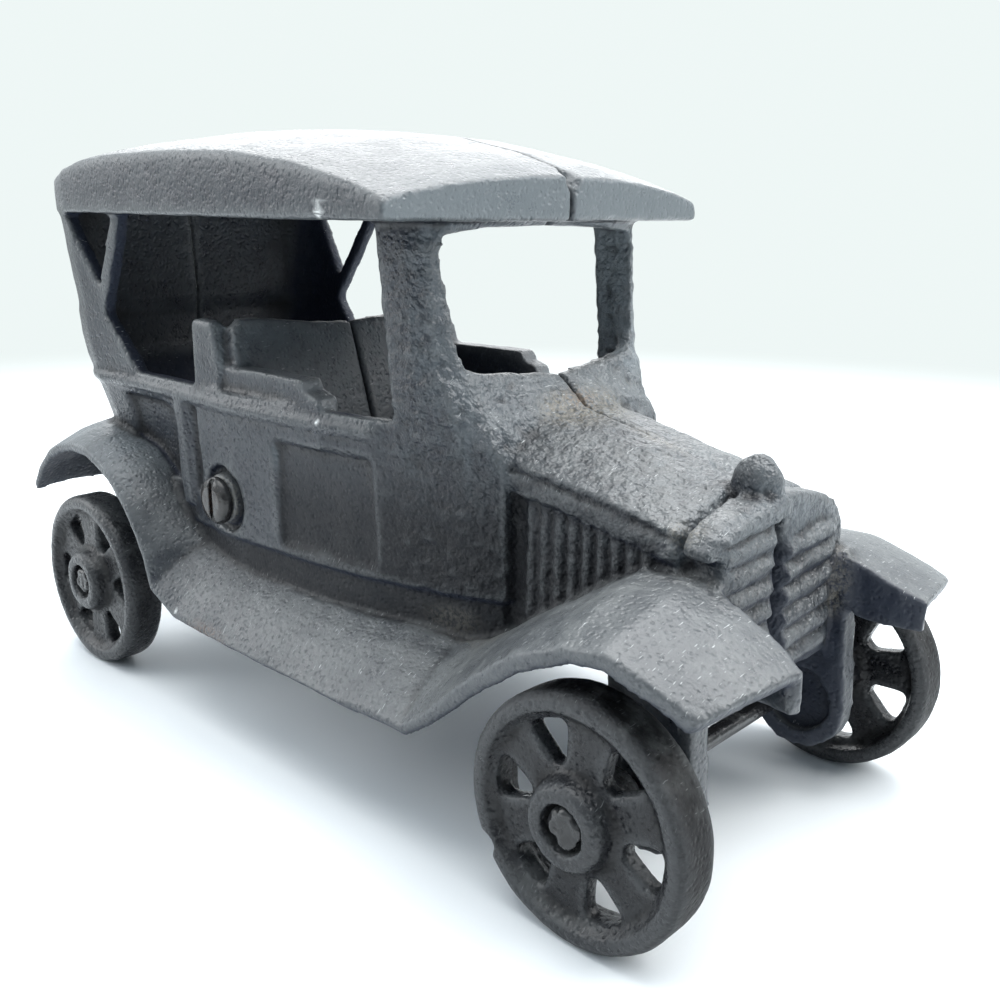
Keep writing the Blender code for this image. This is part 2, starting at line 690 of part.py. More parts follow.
def window(side):
    post = post_slimming if side > 0 else 0.0
    outline = [(17.0 + post, window_sill), (17.4 + post, window_sill + 2.0), (14.3 + post, roof_edge_height),
               (-49.6, roof_edge_height), (-52.5, in_window(0.83)), (-58.7, in_window(0.52)),
               (-60.4, in_window(0.436)), (-60.2, in_window(0.39)), (-55.6, in_window(0.23)), (-51.6, window_sill)]
    return prism("window", outline, 14.0, 45.0, "xz", side)


def quarter_window(side):
    outline = [(-69.8, roof_edge_height), (-61.7, in_window(0.61)), (-60.9, in_window(0.583)),
               (-60.2, in_window(0.596)), (-52.4, roof_edge_height)]
    return prism("quarter_window", outline, 14.0, 45.0, "xz", side)


def windshield(side):
    edge = post_half_width - 3.2 + (0.6 * post_slimming if side > 0 else 0.0)
    outline = [(beyond_centre, windshield_sill_centre), (0.0, windshield_sill_centre),
               (edge - 4.9, windshield_sill_side - 0.8), (edge - 2.5, windshield_sill_side + 0.4),
               (edge - 1.5, windshield_sill_side + 3.0), (edge, header_bottom - 2.4), (edge - 1.0, header_bottom),
               (edge - 9.9, header_bottom + 0.8), (beyond_centre, header_bottom + 1.2)]
    return prism("windshield", outline, 18.0, 40.0, "outz", side)


# The front seat: a raked back across the cabin and an arm along each side.
seat_back_top = belt_height + 14.3
seat_back_x = -25.8
seat_rake = 0.33
seat_thickness = 2.8


def seat(side):
    wide = cabin_half_width - 2.2
    top = seat_back_top
    profile = ((past_centre - 0.2, top - 2.1), (0.3 * wide, top - 1.7), (0.76 * wide, top - 0.2),
               (wide - 2.8, top - 0.3), (wide - 1.0, top - 1.7), (wide - 0.2, top - 4.8), (wide, belt_height - 5.0),
               (wide - 0.4, belt_height - 11.5), (past_centre - 0.2, belt_height - 11.5))
    rings = []
    for behind in (0.0, seat_thickness):
        rings.append([(seat_back_x + behind + seat_rake * (seat_back_top - z), out, z) for out, z in profile])
    back = loft("seat_back", rings, side)
    low = belt_height - 3.0
    wing_outline = [(-31.8, low), (-31.8, top - 1.2), (-31.0, top - 0.4), (-25.9, top - 0.4), (-25.2, top - 1.1),
                    (-23.6, top - 7.3), (-23.6, low)]
    wing = prism("seat_wing", wing_outline, cabin_half_width - 3.0, cabin_half_width - 0.4, "xz", side)
    low = belt_height - 4.0
    arm_outline = [(-26.4, low), (-26.4, belt_height + 6.4), (-1.8, belt_height + 6.7), (-0.8, belt_height + 6.2),
                   (-0.3, belt_height + 4.8), (2.4, belt_height + 4.3), (3.1, belt_height + 3.4), (3.1, low)]
    arm = prism("seat_arm", arm_outline, cabin_half_width - 5.2, cabin_half_width - 1.1, "xz", side)
    low = belt_height - 13.2
    cushion_outline = [(-18.6, low), (-18.6, low + 3.6), (-5.0, low + 4.6), (-4.0, low + 3.8), (-4.0, low)]
    cushion = prism("seat_cushion", cushion_outline, past_centre - 0.6, cabin_half_width - 2.6, "xz", side)
    return [back, wing, arm, cushion]


# Lugs that carry the axles.
def lug(axle_x, centre_shift, inner, top, side):
    centre_x = axle_x + centre_shift
    outline = [(centre_x + lug_radius * 0.74, top), (centre_x - lug_radius * 0.74, top)]
    for step in range(11):
        angle = math.radians(172.0 + 196.0 * step / 10.0)
        outline.append((centre_x + lug_radius * math.cos(angle), axle_height - 0.8 + lug_radius * math.sin(angle)))
    made = prism("lug", outline, inner, inner + lug_thickness, "xz", side)
    pocket = bar("lug_pocket", centre_x, axle_height - 0.4, lug_pocket_radius, inner - 3.0, inner + lug_pocket_depth,
                 side, 20)
    return combine(made, "DIFFERENCE", [pocket])


# The low filler cap is cast on the right half only.
def filler_cap(side):
    work = bmesh.new()
    bmesh.ops.create_uvsphere(work, u_segments=12, v_segments=8, radius=1.0)
    for vert in work.verts:
        lean = 0.35 * vert.co.z
        vert.co = (65.9 + lean + 3.9 * vert.co.x, side * (2.7 + 2.9 * vert.co.y), 54.6 + 4.5 * vert.co.z)
    settle_faces(work)
    mesh = bpy.data.meshes.new("filler_cap")
    work.to_mesh(mesh)
    work.free()
    return holder("filler_cap", mesh)


# One half of the body.
def half(name, side):
    right = side < 0
    shell = cabin_outside(side)
    combine(shell, "UNION", [loft("hood", [hood_ring(x, side) for x in hood_stations], side), radiator(side)])
    combine(shell, "DIFFERENCE", [cabin_inside(side), hood_inside(side)])
    combine(shell, "DIFFERENCE", [window(side), quarter_window(side), windshield(side), door_pocket(side),
                                  quarter_pocket(side), pillar_groove(side)])
    roof = combine(roof_outside(side), "DIFFERENCE", [roof_inside(side)])
    combine(shell, "UNION", [roof, fender(side), pillar_bar(side)] + seat(side))
    combine(shell, "UNION", louvres(side) + radiator_ribs(side))
    combine(shell, "DIFFERENCE", [seam_parting(side)])
    combine(shell, "UNION", [lug(front_axle_x, 2.0, front_lug_inner_right if right else front_lug_inner_left, 42.0, side),
                             lug(rear_axle_x, 0.0, rear_lug_inner, 45.6, side)])
    if right:
        combine(shell, "UNION", [filler_cap(side), bar("pad", screw_x, screw_z, pad_radius, pad_out - 5.0, pad_out, side)])
        combine(shell, "DIFFERENCE", [bar("counterbore", screw_x, screw_z, counterbore_radius, counterbore_floor, 40.0,
                                          side)])
        combine(shell, "UNION", [bar("boss", screw_x, screw_z, boss_radius, past_centre - 1.4, screw_seat - fit_gap, side)])
        combine(shell, "DIFFERENCE", [bar("clearance_hole", screw_x, screw_z, screw_shank_radius + 0.2,
                                          beyond_centre, 40.0, side)])
    else:
        combine(shell, "UNION", [bar("boss", screw_x, screw_z, boss_radius, past_centre - 1.4, pad_out, side)])
        combine(shell, "DIFFERENCE", [bar("tapped_hole", screw_x, screw_z, screw_shank_radius + fit_gap,
                                          beyond_centre, screw_reach + 2.0, side)])
    for axle_x in (front_axle_x, rear_axle_x):
        combine(shell, "DIFFERENCE", [bar("axle_hole", axle_x, axle_height, bore_radius, beyond_centre, 45.0, side,
                                          16)])
    far = 1.2 * wheelbase
    beyond = [(-far, beyond_centre - 2.0), (far, beyond_centre - 2.0), (far, seam_gap / 2.0), (-far, seam_gap / 2.0)]
    combine(shell, "DIFFERENCE", [prism("beyond_centre", beyond, -far, far, "plan", side)])
    shell.name = name
    return shell


# The wheels turn freely, so each one has come to rest with its spokes at an angle of its own, in degrees.
spoke_turns = {"front_right": 23.0, "front_left": 8.5, "rear_right": 32.0, "rear_left": 14.0}


# A wheel, turned about its own axis with its outer side towards +Y, then pierced between the spokes.
def wheel(name, side, spoke_turn):
    facet_reach = wheel_radius / math.cos(math.pi / wheel_facets)
    outline = [(bore_radius, cup_floor), (cup_radius, cup_floor), (cup_radius + 0.15, hub_outer_face),
               (hub_radius - 0.7, hub_outer_face), (hub_radius, hub_outer_face - 0.7),
               (hub_radius + 0.5, web_outer_face + 0.3), (hub_radius + 1.3, web_outer_face),
               (rim_bore_radius - 1.0, web_outer_face), (rim_bore_radius, web_outer_face + 0.8),
               (rim_bore_radius + 0.4, half_tyre), (facet_reach - 1.1, half_tyre), (facet_reach - 0.3, half_tyre - 0.45),
               (facet_reach, half_tyre - 1.3), (facet_reach, -half_tyre + 1.3), (facet_reach - 0.3, -half_tyre + 0.45),
               (facet_reach - 1.1, -half_tyre), (rim_bore_radius + 0.4, -half_tyre),
               (rim_bore_radius, web_inner_face - 0.8), (rim_bore_radius - 1.0, web_inner_face),
               (hub_radius + 0.6, web_inner_face), (hub_radius - 0.5, web_inner_face - 0.8),
               (hub_radius - 1.0, hub_inner_face), (bore_radius, hub_inner_face)]
    made = turned(name, outline, wheel_facets)
    turn = math.pi / wheel_facets
    for vert in made.data.vertices:
        x, y, z = vert.co
        vert.co = (x * math.cos(turn) - z * math.sin(turn), y, x * math.sin(turn) + z * math.cos(turn))
    middle = 0.5 * (hub_radius + rim_bore_radius)
    opening = ((-0.9, -2.6), (0.9, -2.6), (2.7, 1.2), (3.0, 2.3), (2.3, 3.0), (0.0, 3.2), (-2.3, 3.0), (-3.0, 2.3),
               (-2.7, 1.2))
    for index in range(spoke_count):
        angle = 2.0 * math.pi * (index + 0.5) / spoke_count + math.radians(spoke_turn)
        outline = [((middle + up) * math.cos(angle) - across * math.sin(angle),
                    (middle + up) * math.sin(angle) + across * math.cos(angle)) for across, up in opening]
        combine(made, "DIFFERENCE", [prism("opening", outline, -9.0, 9.0, "xz", 1)])
    if side < 0:
        for vert in made.data.vertices:
            vert.co = (vert.co.x, -vert.co.y, vert.co.z)
        made.data.flip_normals()
    made.name = name
    return made


# A plain rod with a flattened head beyond each wheel.
def axle(name):
    seat_place = wheel_centre_out + cup_floor + end_play
    head = seat_place + axle_head_thickness
    outline = [(0.0, -head), (axle_head_radius - 0.8, -head), (axle_head_radius - 0.15, -head + 0.35),
               (axle_head_radius, -seat_place - 0.5), (axle_head_radius - 0.25, -seat_place), (rod_radius, -seat_place),
               (rod_radius, seat_place), (axle_head_radius - 0.25, seat_place), (axle_head_radius, seat_place + 0.5),
               (axle_head_radius - 0.15, head - 0.35), (axle_head_radius - 0.8, head), (0.0, head)]
    return turned(name, outline, 16)


# The clamp screw, with its head on the right side of the car and a slot across it.
def clamp_screw(name):
    crown = screw_seat + screw_head_thickness
    outline = [(0.0, -crown), (screw_head_radius - 1.6, -crown), (screw_head_radius - 0.5, -crown + 0.35),
               (screw_head_radius, -crown + 1.0), (screw_head_radius, -screw_seat), (screw_shank_radius, -screw_seat),
               (screw_shank_radius, screw_reach - 0.6), (screw_shank_radius - 0.6, screw_reach), (0.0, screw_reach)]
    made = turned(name, outline, 24)
    slot = [(-slot_width / 2.0, -9.0), (slot_width / 2.0, -9.0), (slot_width / 2.0, 9.0), (-slot_width / 2.0, 9.0)]
    combine(made, "DIFFERENCE", [prism("slot", slot, crown - slot_depth, crown + 5.0, "xz", -1)])
    made.name = name
    return made


# The two halves are the longest pieces, so they set the middle of the car's length.
right_half = half("body_half_right", -1)
left_half = half("body_half_left", 1)
along_car = [vert.co.x for made in (right_half, left_half) for vert in made.data.vertices]
middle_x = (min(along_car) + max(along_car)) / 2.0


# Millimetres become metres, and every node gets its own material and its origin.
def finish(made, place, colour, roughness):
    for vert in made.data.vertices:
        vert.co = vert.co * 0.001
    made.location = (Vector(place) - Vector((middle_x, 0.0, 0.0))) * 0.001
    made.data.name = made.name
    material = bpy.data.materials.new(made.name)
    material.use_nodes = True
    shader = material.node_tree.nodes["Principled BSDF"]
    shader.inputs["Base Color"].default_value = colour
    shader.inputs["Roughness"].default_value = roughness
    shader.inputs["Metallic"].default_value = 0.3
    made.data.materials.clear()
    made.data.materials.append(material)


black_paint = (0.03, 0.031, 0.034, 1.0)
bare_black = (0.02, 0.02, 0.021, 1.0)

finish(right_half, (0.0, 0.0, 0.0), black_paint, 0.55)
finish(left_half, (0.0, 0.0, 0.0), black_paint, 0.55)
for end, axle_x in (("front", front_axle_x), ("rear", rear_axle_x)):
    finish(axle(end + "_axle"), (axle_x, 0.0, axle_height), bare_black, 0.3)
    for hand, side in (("right", -1), ("left", 1)):
        made = wheel("wheel_" + end + "_" + hand, side, spoke_turns[end + "_" + hand])
        finish(made, (axle_x, side * wheel_centre_out, axle_height), black_paint, 0.5)
finish(clamp_screw("body_screw"), (screw_x, 0.0, screw_z), bare_black, 0.35)
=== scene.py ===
# %% [markdown]
# A small touring car in cast iron, cast in two hollow halves that one slotted screw clamps together.
# The measured model already gives every size, so this lesson only makes the surfaces: the soft, lumpy
# skin that iron takes from a sand mould, and old black paint that has gone grey where hands and dust
# reach it. Each measured node is copied, its copy is given a finer skin, and the copy then stands for
# the node.

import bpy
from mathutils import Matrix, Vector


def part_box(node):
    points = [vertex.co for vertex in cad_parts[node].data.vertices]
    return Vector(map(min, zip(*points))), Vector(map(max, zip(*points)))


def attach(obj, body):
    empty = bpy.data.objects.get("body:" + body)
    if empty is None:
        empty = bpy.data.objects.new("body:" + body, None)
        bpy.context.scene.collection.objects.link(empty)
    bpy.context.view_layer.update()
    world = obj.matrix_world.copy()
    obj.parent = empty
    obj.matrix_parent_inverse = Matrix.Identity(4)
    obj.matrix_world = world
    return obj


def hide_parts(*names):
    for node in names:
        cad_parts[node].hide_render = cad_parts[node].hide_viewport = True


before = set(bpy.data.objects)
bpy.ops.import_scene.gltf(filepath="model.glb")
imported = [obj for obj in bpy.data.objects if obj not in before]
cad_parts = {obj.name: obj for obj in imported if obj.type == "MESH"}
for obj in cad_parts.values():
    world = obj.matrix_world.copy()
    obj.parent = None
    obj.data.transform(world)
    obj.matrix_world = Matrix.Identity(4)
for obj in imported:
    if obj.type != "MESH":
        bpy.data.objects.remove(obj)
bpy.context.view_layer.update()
print("measured nodes:", ", ".join(sorted(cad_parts)))

import bmesh
import bpy
import numpy as np
from mathutils import Matrix, Vector, noise

mm = 0.001

# %% [markdown]
# The measured car stands with the middle of its whole length over the origin, but places on a car are
# easier to name from its axles. So every place in this lesson is counted in millimetres from midway
# between the two axles: along the car, out to its left, and up.

# %% Midway between the axles
front_low, front_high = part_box("front_axle")
rear_low, rear_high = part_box("rear_axle")
axle_middle = Vector(((front_low[0] + front_high[0] + rear_low[0] + rear_high[0]) / 4.0, 0.0, 0.0))
print("midway between the axles, in mm:", round(axle_middle.x / mm, 2))


# %% Put data into the scene as a new object
def fresh_object(name, data):
    made = bpy.data.objects.new(name, data)
    bpy.context.scene.collection.objects.link(made)
    return made


# %% [markdown]
# The camera comes first, because everything else is judged through it. It stands low at the front right
# corner, close to the car, so the near wheel looks large. Its three directions and its place were worked
# out from the outlines of the wheels and the roof. A Blender camera looks along its own minus Z, so the
# direction of the view is turned round when the matrix is put together.

# %% Camera
focal_pixels = 1064.85
picture_pixels = 1000.0
sensor_width = 36.0
to_right = Vector((0.725789, 0.687821, 0.011503))
to_ground = Vector((0.191170, -0.185604, -0.963849))
to_car = Vector((-0.660821, 0.701750, -0.266200))
camera_place = Vector((135.41, -126.66, 90.30)) * mm + axle_middle

camera = fresh_object("camera", bpy.data.cameras.new("camera"))
camera.data.sensor_width = sensor_width
camera.data.lens = focal_pixels * sensor_width / picture_pixels
camera.data.clip_start = 1.0 * mm
turn = Matrix((to_right, -to_ground, -to_car)).transposed()
camera.matrix_world = Matrix.Translation(camera_place) @ turn.to_4x4()
bpy.context.scene.camera = camera
bpy.context.scene.view_settings.view_transform = "Standard"
print("lens in mm:", round(camera.data.lens, 2))

# %% [markdown]
# Materials and the world are trees of nodes. The small class below adds nodes and joins them, so that the
# rest of the lesson reads like a sum: each call takes sockets or plain values, and gives back a socket.


# %% A helper that adds the nodes of one tree and joins them
class Nodes:
    def __init__(self, tree):
        self.tree = tree

    def put(self, value, socket):
        if isinstance(value, bpy.types.NodeSocket):
            self.tree.links.new(value, socket)
        else:
            socket.default_value = value

    def add(self, kind, inputs=None, **settings):
        node = self.tree.nodes.new(kind)
        for key, value in settings.items():
            setattr(node, key, value)
        for key, value in (inputs or {}).items():
            self.put(value, node.inputs[key])
        return node.outputs

    def maths(self, operation, first, second):
        return self.add("ShaderNodeMath", {0: first, 1: second}, operation=operation)["Value"]

    def plus(self, first, second):
        return self.maths("ADD", first, second)

    def times(self, first, second):
        return self.maths("MULTIPLY", first, second)

    def greater(self, first, second):
        return self.maths("MAXIMUM", first, second)

    def span(self, value, low, high, start=0.0, end=1.0):
        inputs = {"Value": value, "From Min": low, "From Max": high, "To Min": start, "To Max": end}
        return self.add("ShaderNodeMapRange", inputs, interpolation_type="SMOOTHSTEP")["Result"]

    def mix_colours(self, share, below, above):
        return self.add("ShaderNodeMix", {0: share, 6: below, 7: above}, data_type="RGBA")[2]

    def mix_shaders(self, share, below, above):
        return self.add("ShaderNodeMixShader", {0: share, 1: below, 2: above})["Shader"]

    def show(self, output, shader):
        self.put(shader, self.tree.nodes[output].inputs["Surface"])


def new_material(name):
    made = bpy.data.materials.new(name)
    made.use_nodes = True
    return made, Nodes(made.node_tree), made.node_tree.nodes["Principled BSDF"]


# %% [markdown]
# A light tent is the usual way to photograph dark, half glossy iron: a wide soft light overhead, a pale
# floor and pale walls that the paint can mirror. The floor is a plain disc. Close to the car it is a real
# surface that takes the shadow, and further out it fades into the same pale white as the wall, so that no
# horizon shows. That fade is only seen by the camera and in mirror reflections, and it adds no light to
# the car.

# %% The floor
wall_white = (0.86, 0.93, 0.92, 1.0)
floor_white = (0.90, 0.93, 0.93, 1.0)
floor_radius = 4.0
floor_sides = 96
fade_starts = 0.16
fade_ends = 0.55


def floor_material():
    made, nodes, shader = new_material("pale_floor")
    shader.inputs["Base Color"].default_value = floor_white
    shader.inputs["Roughness"].default_value = 0.75
    place = nodes.add("ShaderNodeTexCoord")["Object"]
    reach = nodes.add("ShaderNodeVectorMath", {0: place}, operation="LENGTH")["Value"]
    ray = nodes.add("ShaderNodeLightPath")
    seen = nodes.greater(ray["Is Camera Ray"], ray["Is Glossy Ray"])
    share = nodes.times(nodes.span(reach, fade_starts, fade_ends), seen)
    glow = nodes.add("ShaderNodeEmission", {"Color": wall_white})["Emission"]
    nodes.show("Material Output", nodes.mix_shaders(share, shader.outputs["BSDF"], glow))
    return made


def make_floor():
    mesh = bpy.data.meshes.new("floor")
    work = bmesh.new()
    bmesh.ops.create_circle(work, cap_ends=True, radius=floor_radius, segments=floor_sides)
    work.to_mesh(mesh)
    work.free()
    mesh.materials.append(floor_material())
    fresh_object("floor", mesh)


make_floor()

# %% [markdown]
# The tent is open on the camera's side, where the room is dim. Black paint shows that at once: what
# faces the camera goes deep black, and what turns towards the bright wall behind or above it shines. So
# the light of the world depends on its direction, and only the camera itself sees an even white wall. The
# brightness rises with the cosine of the angle to the brightest side, which the dot product gives.

# %% The wall of light around the car, bright above and behind it
bright_side = Vector((-0.66, 0.35, 0.66)).normalized()
light_starts = -0.55
light_full = 0.75

world = bpy.data.worlds.new("tent")
bpy.context.scene.world = world
world.use_nodes = True
wall = world.node_tree.nodes["Background"]
wall.inputs["Color"].default_value = wall_white
sky = Nodes(world.node_tree)
outlook = sky.add("ShaderNodeTexCoord")["Generated"]
turned = sky.add("ShaderNodeVectorMath", {0: outlook, 1: bright_side}, operation="DOT_PRODUCT")["Value"]


def tent_light(colour, dim, bright):
    strength = sky.span(turned, light_starts, light_full, dim, bright)
    return sky.add("ShaderNodeBackground", {"Color": colour, "Strength": strength})["Background"]


fill = tent_light((0.72, 0.86, 1.0, 1.0), 0.25, 0.9)
mirrored = tent_light((0.90, 0.96, 1.0, 1.0), 0.25, 1.25)
ray = sky.add("ShaderNodeLightPath")
light = sky.mix_shaders(ray["Is Glossy Ray"], fill, mirrored)
seen = sky.greater(ray["Is Camera Ray"], ray["Is Transmission Ray"])
sky.show("World Output", sky.mix_shaders(seen, light, wall.outputs["Background"]))

# %% The soft lights, in metres and watts
car_middle = Vector((0.0, 0.0, 0.05))


def soft_light(name, place, width, depth, power):
    lamp = bpy.data.lights.new(name, "AREA")
    lamp.shape = "RECTANGLE"
    lamp.size = width
    lamp.size_y = depth
    lamp.energy = power
    made = fresh_object(name, lamp)
    made.location = place
    made.rotation_mode = "QUATERNION"
    made.rotation_quaternion = (car_middle - made.location).to_track_quat("-Z", "Y")


soft_light("overhead", (-0.05, 0.10, 0.75), 0.8, 0.8, 9.5)
soft_light("behind", (-0.70, 0.70, 0.50), 0.9, 0.6, 4.0)
soft_light("front left", (0.60, 0.40, 0.65), 0.6, 0.6, 7.0)
soft_light("rear right", (-0.75, -0.55, 0.45), 0.6, 0.6, 3.5)

# %% [markdown]
# Iron that cools in a sand mould has no sharp edge anywhere. The measured solids do, so each copy is
# first rebuilt on a fine even grid of small squares, which Blender calls a voxel remesh, and then relaxed
# a little. That rounds every edge alike, inside corners too, just as molten iron does. Working on points
# by hand comes next, and for that the script needs the average place of each point's neighbours, quickly
# for 200,000 points.


# %% Points of a mesh as an array, and the mean of each point's neighbours
def points_of(mesh):
    places = np.empty(len(mesh.vertices) * 3)
    mesh.vertices.foreach_get("co", places)
    return places.reshape(-1, 3)


def put_points(mesh, places):
    mesh.vertices.foreach_set("co", places.astype(np.float32).ravel())
    mesh.update()


def normals_of(mesh):
    found = np.empty(len(mesh.vertices) * 3)
    mesh.vertices.foreach_get("normal", found)
    return found.reshape(-1, 3)


class Neighbours:
    def __init__(self, mesh):
        ends = np.empty(len(mesh.edges) * 2, dtype=np.int64)
        mesh.edges.foreach_get("vertices", ends)
        self.first, self.second = ends.reshape(-1, 2).T
        self.size = len(mesh.vertices)
        both = np.concatenate((self.first, self.second))
        self.count = np.maximum(np.bincount(both, minlength=self.size), 1)

    def mean(self, values):
        columns = []
        for column in values.reshape(self.size, -1).T:
            total = np.bincount(self.first, column[self.second], self.size)
            total += np.bincount(self.second, column[self.first], self.size)
            columns.append(total / self.count)
        return np.stack(columns, 1).reshape(values.shape)

    def relaxed(self, values, passes):
        for _ in range(passes):
            values = values + 0.5 * (self.mean(values) - values)
        return values


# %% A copy of a measured node on a fine even grid, in mm
def with_modifiers(piece):
    graph = bpy.context.evaluated_depsgraph_get()
    mesh = bpy.data.meshes.new_from_object(piece.evaluated_get(graph))
    piece.modifiers.clear()
    piece.data = mesh


def cast_copy(name, node, grid):
    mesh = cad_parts[node].data.copy()
    work = bmesh.new()
    work.from_mesh(mesh)
    bmesh.ops.remove_doubles(work, verts=work.verts, dist=0.001 * mm)
    work.to_mesh(mesh)
    work.free()
    piece = fresh_object(name, mesh)
    rebuild = piece.modifiers.new("rebuild", "REMESH")
    rebuild.mode = "VOXEL"
    rebuild.voxel_size = grid * mm
    rebuild.use_smooth_shade = True
    with_modifiers(piece)
    return piece


# %% [markdown]
# The skin's bumps are noise at several sizes, added up. Noise is made on an even grid of its own, and the
# eye finds a grid that lies square to the car, so the grid is turned first. Masks say where on the car
# each kind of bump lies. They are products of soft steps, each with the places where it starts and is full.

# %% Waves in the surface, from noise of one size in mm
tilt = np.array(Matrix.Rotation(0.6, 3, "X") @ Matrix.Rotation(0.9, 3, "Y") @ Matrix.Rotation(0.5, 3, "Z"))
seed_shift = np.array((17.3, -9.1, 5.7))


def waves(places, wavelength, seed, stretch=(1.0, 1.0, 1.0)):
    rows = (places * np.array(stretch) / (wavelength * mm)) @ tilt + seed_shift * seed
    return np.array([noise.noise(row) for row in rows.tolist()])


def pushed(places, facing, push):
    return places + facing * (push * mm)[:, None]


# %% Soft steps up, down, and up and down again
def step(values, start, full):
    share = np.clip((values - start) / (full - start), 0.0, 1.0)
    return share * share * (3.0 - 2.0 * share)


def fall(values, full, end):
    return 1.0 - step(values, full, end)


def window(values, start, full, still_full, end):
    return step(values, start, full) * fall(values, still_full, end)


# %% Places on the car in mm, and a soft ball around one of them
def car_places(places):
    return ((places - np.array(axle_middle)) / mm).T


def near(places, centre, reach):
    away = (car_places(places).T - np.array(centre)) / np.array(reach)
    return fall(np.linalg.norm(away, axis=1), 0.35, 1.0)


# %% [markdown]
# The finish needs to know where a surface is hollow and where it stands proud: shade is painted darker into
# hollows and wide corners, and paint wears off ridges and edges. The measure is simple. A strongly relaxed
# copy of the surface has its ridges worn down and its hollows filled, so the distance from a point to its
# relaxed place, along the normal, says which it is. A few passes find the small bumps, and many more find
# the wide corners and edges. The result is kept on the mesh as named values that the material reads.


# %% Hollows and ridges kept on the mesh, with the depths in mm at which they count in full
def keep(mesh, name, values):
    kept_values = mesh.attributes.new(name, "FLOAT", "POINT")
    kept_values.data.foreach_set("value", values.astype(np.float32))


def mark_relief(mesh, passes, full, wide_passes, wide_full):
    places = points_of(mesh)
    facing = normals_of(mesh)
    around = Neighbours(mesh)
    relaxed = around.relaxed(places, passes)
    depth = around.relaxed(np.einsum("ij,ij->i", relaxed - places, facing) / mm, 2)
    # Hollows and wide corners are kept for painted shade, ridges and edges for wear.
    keep(mesh, "painted_shade_hollow", step(depth, 0.15 * full, full))
    keep(mesh, "ridge", step(-depth, 0.15 * full, full))
    relaxed = around.relaxed(relaxed, wide_passes)
    depth = around.relaxed(np.einsum("ij,ij->i", relaxed - places, facing) / mm, 6)
    keep(mesh, "painted_shade_corner", step(depth, 0.1 * wide_full, wide_full))
    keep(mesh, "edge", step(-depth, 0.2 * wide_full, wide_full))


# %% Spots of dust, rust or bare iron: each has its centre, its reach and its amount
def mark_spots(mesh, **kinds):
    places = points_of(mesh)
    for name, spots in kinds.items():
        total = np.zeros(len(places))
        for centre, reach, amount in spots:
            total = np.maximum(total, amount * near(places, centre, reach))
        keep(mesh, name, total)


# %% [markdown]
# Old black paint on iron is never one black. Shade is painted into it as a blue black in the hollows and
# wide corners, in the cabin, on undersides and low on the sides. On what faces up it is a dusty grey with a
# dull shine, partly real wear and dust, because hands have polished it and dust has settled, and partly
# painted light; faces that look lit are painted paler still. Brown dust lies in the corners, and small
# bright scratches lie on the tops. Each of these is one layer in the material, mixed over the one before
# by a mask: the direction of the surface, the kept values, or noise.

# %% Colours that lie over the black
# Painted light: a paler grey on faces that look lit.
painted_light_grey = (0.16, 0.185, 0.20, 1.0)
# Pale patches on tops, partly bloom and partly painted light.
bloom_and_painted_sheen = (0.30, 0.31, 0.30, 1.0)
# Painted shade: a blue black for the cabin and the undersides.
painted_shade_navy = (0.002, 0.007, 0.022, 1.0)
filed_grey = (0.135, 0.155, 0.165, 1.0)
brown_dust = (0.19, 0.175, 0.145, 1.0)
rust_brown = (0.17, 0.075, 0.03, 1.0)
bright_scratch = (0.66, 0.68, 0.67, 1.0)
bare_chip = (0.85, 0.86, 0.84, 1.0)


# %% Noise of one size in mm, and values kept on the mesh
def grain(nodes, place, size, detail=3.0, roughness=0.55):
    inputs = {"Vector": place, "Scale": 1.0 / (size * mm), "Detail": detail, "Roughness": roughness}
    return nodes.add("ShaderNodeTexNoise", inputs)["Fac"]


def kept(nodes, name):
    return nodes.add("ShaderNodeAttribute", attribute_name=name)["Fac"]


# %% Short straight scratches, from noise that is drawn out in one direction
scratch_kinds = (
    ((0.0, 0.0, 0.5), 0.16, 2.2, 0.735),
    ((0.3, 0.0, 1.4), 0.15, 1.6, 0.735),
    ((0.0, 0.2, 2.5), 0.14, 1.3, 0.74),
)


def scratches(nodes, place, turned, width, length, rarity):
    across = 1.0 / (width * mm)
    along = 1.0 / (length * mm)
    mapping = {"Vector": place, "Rotation": turned, "Scale": (across, along, along)}
    drawn_out = nodes.add("ShaderNodeMapping", mapping)["Vector"]
    found = nodes.add("ShaderNodeTexNoise", {"Vector": drawn_out, "Scale": 1.0, "Detail": 1.0})["Fac"]
    return nodes.span(found, rarity, rarity + 0.05)


def all_scratches(nodes, place):
    marks = 0.0
    for kind in scratch_kinds:
        marks = nodes.greater(marks, scratches(nodes, place, *kind))
    return marks
